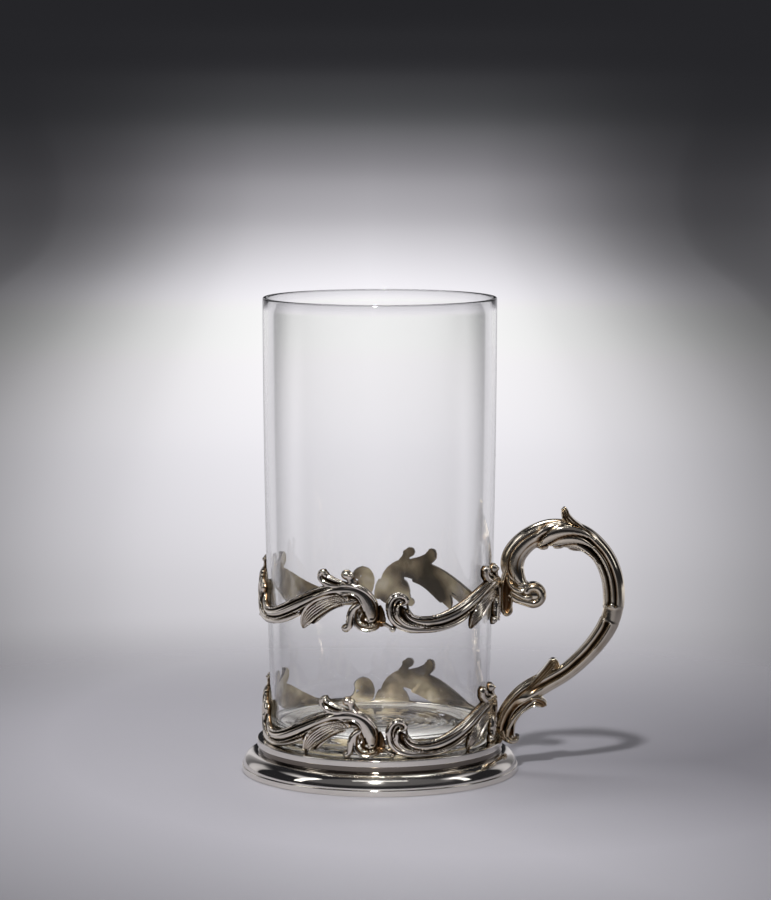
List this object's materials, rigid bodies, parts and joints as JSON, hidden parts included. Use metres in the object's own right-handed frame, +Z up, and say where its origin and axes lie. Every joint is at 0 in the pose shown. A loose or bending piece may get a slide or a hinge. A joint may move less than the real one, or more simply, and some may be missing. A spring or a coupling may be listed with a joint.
{
  "type": "tea glass holder",
  "caption": "Straight tea glass standing in a cast openwork silver holder with a moulded round foot, two scroll bands and an S-scroll handle.",
  "frame": {"origin": "on the axis of the glass, in the plane of the table under the foot", "axes": "+Z up along the axis of the glass, +X towards the handle, so that the pictured side faces -Y"},
  "size_m": [0.1156, 0.0834, 0.143],
  "materials": {
    "silver": "polished spun silver",
    "plate_silver": "polished sheet silver",
    "cast_silver": "polished cast silver, tarnished in the recesses",
    "glass": "clear pressed glass"
  },
  "bodies": {
    "holder": {"rim_strip": "silver", "foot": "silver", "seat_ring": "silver", "floor_plate": "plate_silver", "lower_scroll_1": "cast_silver", "lower_scroll_2": "cast_silver", "lower_scroll_3": "cast_silver", "lower_scroll_4": "cast_silver", "upper_scroll_1": "cast_silver", "upper_scroll_2": "cast_silver", "upper_scroll_3": "cast_silver", "upper_scroll_4": "cast_silver", "handle_upper": "cast_silver", "handle_lower": "cast_silver"},
    "glass": {"tea_glass": "glass"}
  },
  "joints": [
    {"name": "glass_lift", "type": "slide", "parent": "holder", "child": "glass", "axis": [0, 0, 1], "range_m": [0, 0.075]}
  ]
}
